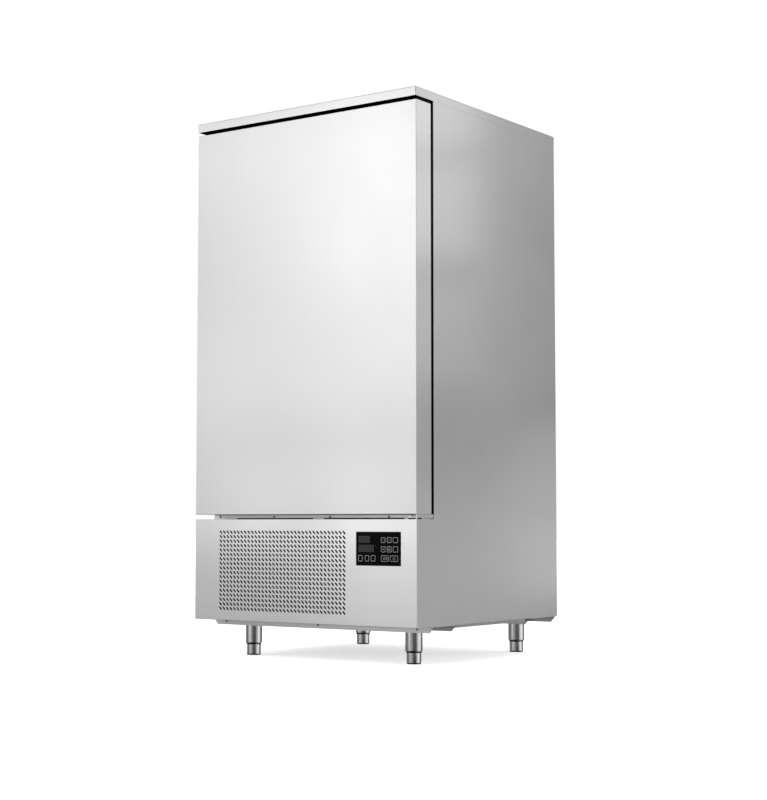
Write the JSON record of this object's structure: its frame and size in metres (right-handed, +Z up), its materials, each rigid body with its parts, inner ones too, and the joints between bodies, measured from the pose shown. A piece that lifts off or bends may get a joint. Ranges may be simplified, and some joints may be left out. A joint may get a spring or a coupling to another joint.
{
  "type": "blast chiller",
  "caption": "Upright stainless blast chiller: full-width insulated door over a slotted machine compartment with a keypad unit, on adjustable round feet.",
  "frame": {"origin": "on the floor under the centre of the cabinet's bounding box", "axes": "+Z up along the cabinet's height, the door and the control unit face -Y, +X is the hinge side, to the right as one faces the front"},
  "size_m": [0.83, 0.798, 1.663],
  "materials": {
    "stainless": "satin",
    "inner_stainless": "satin",
    "galvanised_steel": "satin",
    "polished_steel": "polished",
    "black_plastic": "matte",
    "seal_rubber": "matte",
    "foam": "matte",
    "facia_black": "gloss",
    "display_window": "gloss",
    "circuit_board": "satin",
    "coil_aluminium": "satin",
    "motor_paint": "satin",
    "fan_blade": "satin",
    "copper": "satin",
    "pale_plastic": "satin"
  },
  "bodies": {
    "cabinet": {"top_panel": "stainless", "front_trim": "black_plastic", "side_panel_left": "stainless", "side_panel_right": "stainless", "rear_panel": "stainless", "front_frame": "stainless", "breaker_strip": "black_plastic", "chamber_liner": "inner_stainless", "insulation": "foam", "compartment_roof": "galvanised_steel", "lower_front_panel": "stainless", "condenser_filter": "black_plastic", "control_facia": "facia_black", "display_windows": "display_window", "circuit_boards": "circuit_board", "base_pan": "galvanised_steel", "crossmembers": "stainless", "base_runners": "galvanised_steel", "leg_tubes": "polished_steel", "hinge_brackets": "polished_steel", "rack_posts": "inner_stainless", "tray_runners": "inner_stainless", "evaporator_coil": "coil_aluminium", "fan_shroud": "inner_stainless", "fan_guards": "polished_steel", "fan_motors": "motor_paint", "compressor": "motor_paint", "compressor_mounts": "seal_rubber", "condenser_coil": "coil_aluminium", "condenser_shroud": "galvanised_steel", "electrical_box": "galvanised_steel", "pipework": "copper", "drain": "pale_plastic", "cable_gland": "black_plastic", "screws": "polished_steel"},
    "door": {"door_skin": "stainless", "door_liner": "inner_stainless", "door_foam": "foam", "door_frame": "black_plastic", "door_gasket": "seal_rubber", "door_grip": "black_plastic", "hinge_bushes": "pale_plastic"},
    "foot_front_left": {"foot_front_left": "polished_steel"},
    "foot_front_right": {"foot_front_right": "polished_steel"},
    "foot_rear_left": {"foot_rear_left": "polished_steel"},
    "foot_rear_right": {"foot_rear_right": "polished_steel"},
    "evaporator_fan_upper": {"evaporator_fan_upper": "fan_blade"},
    "evaporator_fan_lower": {"evaporator_fan_lower": "fan_blade"},
    "condenser_fan": {"condenser_fan": "fan_blade"},
    "key_1": {"key_1": "facia_black"},
    "key_2": {"key_2": "facia_black"},
    "key_3": {"key_3": "facia_black"},
    "key_4": {"key_4": "facia_black"},
    "key_5": {"key_5": "facia_black"},
    "key_6": {"key_6": "facia_black"},
    "key_7": {"key_7": "facia_black"},
    "key_8": {"key_8": "facia_black"},
    "key_9": {"key_9": "facia_black"},
    "key_10": {"key_10": "facia_black"},
    "key_11": {"key_11": "facia_black"}
  },
  "joints": [
    {"name": "door_hinge", "type": "hinge", "parent": "cabinet", "child": "door", "pos_m": [0.3947, -0.359, 1.0305], "axis": [0, 0, 1], "range_deg": [0, 110]},
    {"name": "foot_front_left_screw", "type": "slide", "parent": "cabinet", "child": "foot_front_left", "axis": [0, 0, -1], "range_m": [-0.015, 0.02]},
    {"name": "foot_front_right_screw", "type": "slide", "parent": "cabinet", "child": "foot_front_right", "axis": [0, 0, -1], "range_m": [-0.015, 0.02]},
    {"name": "foot_rear_left_screw", "type": "slide", "parent": "cabinet", "child": "foot_rear_left", "axis": [0, 0, -1], "range_m": [-0.015, 0.02]},
    {"name": "foot_rear_right_screw", "type": "slide", "parent": "cabinet", "child": "foot_rear_right", "axis": [0, 0, -1], "range_m": [-0.015, 0.02]},
    {"name": "evaporator_fan_upper_spin", "type": "hinge", "parent": "cabinet", "child": "evaporator_fan_upper", "pos_m": [0, 0.15, 1.29], "axis": [0, 1, 0], "continuous": true},
    {"name": "evaporator_fan_lower_spin", "type": "hinge", "parent": "cabinet", "child": "evaporator_fan_lower", "pos_m": [0, 0.15, 0.86], "axis": [0, 1, 0], "continuous": true},
    {"name": "condenser_fan_spin", "type": "hinge", "parent": "cabinet", "child": "condenser_fan", "pos_m": [-0.075, -0.25, 0.265], "axis": [0, 1, 0], "continuous": true},
    {"name": "key_1_press", "type": "slide", "parent": "cabinet", "child": "key_1", "axis": [0, 1, 0], "range_m": [0, 0.0004], "stiffness_N_per_m": 2500},
    {"name": "key_2_press", "type": "slide", "parent": "cabinet", "child": "key_2", "axis": [0, 1, 0], "range_m": [0, 0.0004], "stiffness_N_per_m": 2500},
    {"name": "key_3_press", "type": "slide", "parent": "cabinet", "child": "key_3", "axis": [0, 1, 0], "range_m": [0, 0.0004], "stiffness_N_per_m": 2500},
    {"name": "key_4_press", "type": "slide", "parent": "cabinet", "child": "key_4", "axis": [0, 1, 0], "range_m": [0, 0.0004], "stiffness_N_per_m": 2500},
    {"name": "key_5_press", "type": "slide", "parent": "cabinet", "child": "key_5", "axis": [0, 1, 0], "range_m": [0, 0.0004], "stiffness_N_per_m": 2500},
    {"name": "key_6_press", "type": "slide", "parent": "cabinet", "child": "key_6", "axis": [0, 1, 0], "range_m": [0, 0.0004], "stiffness_N_per_m": 2500},
    {"name": "key_7_press", "type": "slide", "parent": "cabinet", "child": "key_7", "axis": [0, 1, 0], "range_m": [0, 0.0004], "stiffness_N_per_m": 2500},
    {"name": "key_8_press", "type": "slide", "parent": "cabinet", "child": "key_8", "axis": [0, 1, 0], "range_m": [0, 0.0004], "stiffness_N_per_m": 2500},
    {"name": "key_9_press", "type": "slide", "parent": "cabinet", "child": "key_9", "axis": [0, 1, 0], "range_m": [0, 0.0004], "stiffness_N_per_m": 2500},
    {"name": "key_10_press", "type": "slide", "parent": "cabinet", "child": "key_10", "axis": [0, 1, 0], "range_m": [0, 0.0004], "stiffness_N_per_m": 2500},
    {"name": "key_11_press", "type": "slide", "parent": "cabinet", "child": "key_11", "axis": [0, 1, 0], "range_m": [0, 0.0004], "stiffness_N_per_m": 2500}
  ]
}
